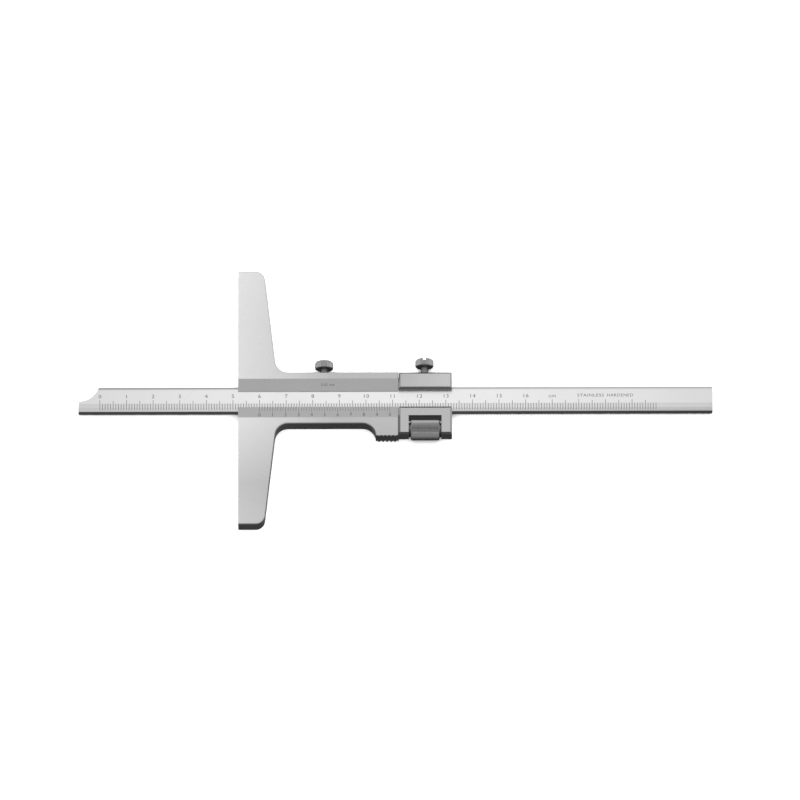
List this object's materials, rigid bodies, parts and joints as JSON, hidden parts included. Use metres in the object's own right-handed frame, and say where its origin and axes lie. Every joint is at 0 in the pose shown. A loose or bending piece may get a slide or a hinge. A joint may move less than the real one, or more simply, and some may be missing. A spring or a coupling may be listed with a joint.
{
  "type": "vernier depth gauge",
  "caption": "Steel vernier depth gauge: a graduated beam slides through a bridge, with clamp screws and a fine-adjustment nut.",
  "frame": {"origin": "on the bridge's measuring face, on the beam's centreline, at the flat back of the slider", "axes": "+X along the beam away from the measuring tip, +Y across the beam towards the clamp screws, +Z out of the graduated face"},
  "size_m": [0.2382, 0.1, 0.0078],
  "materials": {
    "beam_steel": "satin chrome, ground edges",
    "bridge_steel": "fine ground, satin bevels",
    "carriage_steel": "fine ground",
    "spring_steel": "tempered strip",
    "spindle_steel": "threaded bar",
    "pin_steel": "ground pin",
    "nut_steel": "knurled, darkened",
    "screw_steel": "knurled, darkened",
    "pad_brass": "turned"
  },
  "bodies": {
    "bridge": {"bridge_body": "bridge_steel", "slider_leaf_spring": "spring_steel", "adjusting_spindle": "spindle_steel", "spindle_pin": "pin_steel"},
    "measuring_beam": {"beam": "beam_steel"},
    "carriage": {"carriage_body": "carriage_steel", "carriage_leaf_spring": "spring_steel"},
    "nut": {"adjusting_nut": "nut_steel"},
    "slider_pad": {"slider_clamp_pad": "pad_brass"},
    "slider_screw": {"slider_clamp_screw": "screw_steel"},
    "carriage_pad": {"carriage_clamp_pad": "pad_brass"},
    "carriage_screw": {"carriage_clamp_screw": "screw_steel"}
  },
  "joints": [
    {"name": "beam_slide", "type": "slide", "parent": "bridge", "child": "measuring_beam", "axis": [-1, 0, 0], "range_m": [-0.06, 0.1]},
    {"name": "carriage_slide", "type": "slide", "parent": "bridge", "child": "carriage", "axis": [1, 0, 0], "range_m": [-0.00005, 0.006]},
    {"name": "nut_spin", "type": "hinge", "parent": "carriage", "child": "nut", "pos_m": [0.0702, -0.0121, 0.004], "axis": [1, 0, 0], "range_deg": [-36, 4320]},
    {"name": "slider_pad_slide", "type": "slide", "parent": "bridge", "child": "slider_pad", "axis": [0, 1, 0], "range_m": [0, 0.001]},
    {"name": "slider_screw_turn", "type": "hinge", "parent": "slider_pad", "child": "slider_screw", "pos_m": [0.0323, 0.01, 0.0035], "axis": [0, 1, 0], "range_deg": [0, 720]},
    {"name": "carriage_pad_slide", "type": "slide", "parent": "carriage", "child": "carriage_pad", "axis": [0, 1, 0], "range_m": [-0.00075, 0.0005]},
    {"name": "carriage_screw_turn", "type": "hinge", "parent": "carriage_pad", "child": "carriage_screw", "pos_m": [0.07, 0.01, 0.0035], "axis": [0, 1, 0], "range_deg": [-540, 360]}
  ],
  "couplings": [
    {"joint": "nut_spin", "follows": "carriage_slide", "rad_per_m": 12566},
    {"joint": "slider_screw_turn", "follows": "slider_pad_slide", "rad_per_m": 12566},
    {"joint": "carriage_screw_turn", "follows": "carriage_pad_slide", "rad_per_m": 12566}
  ]
}
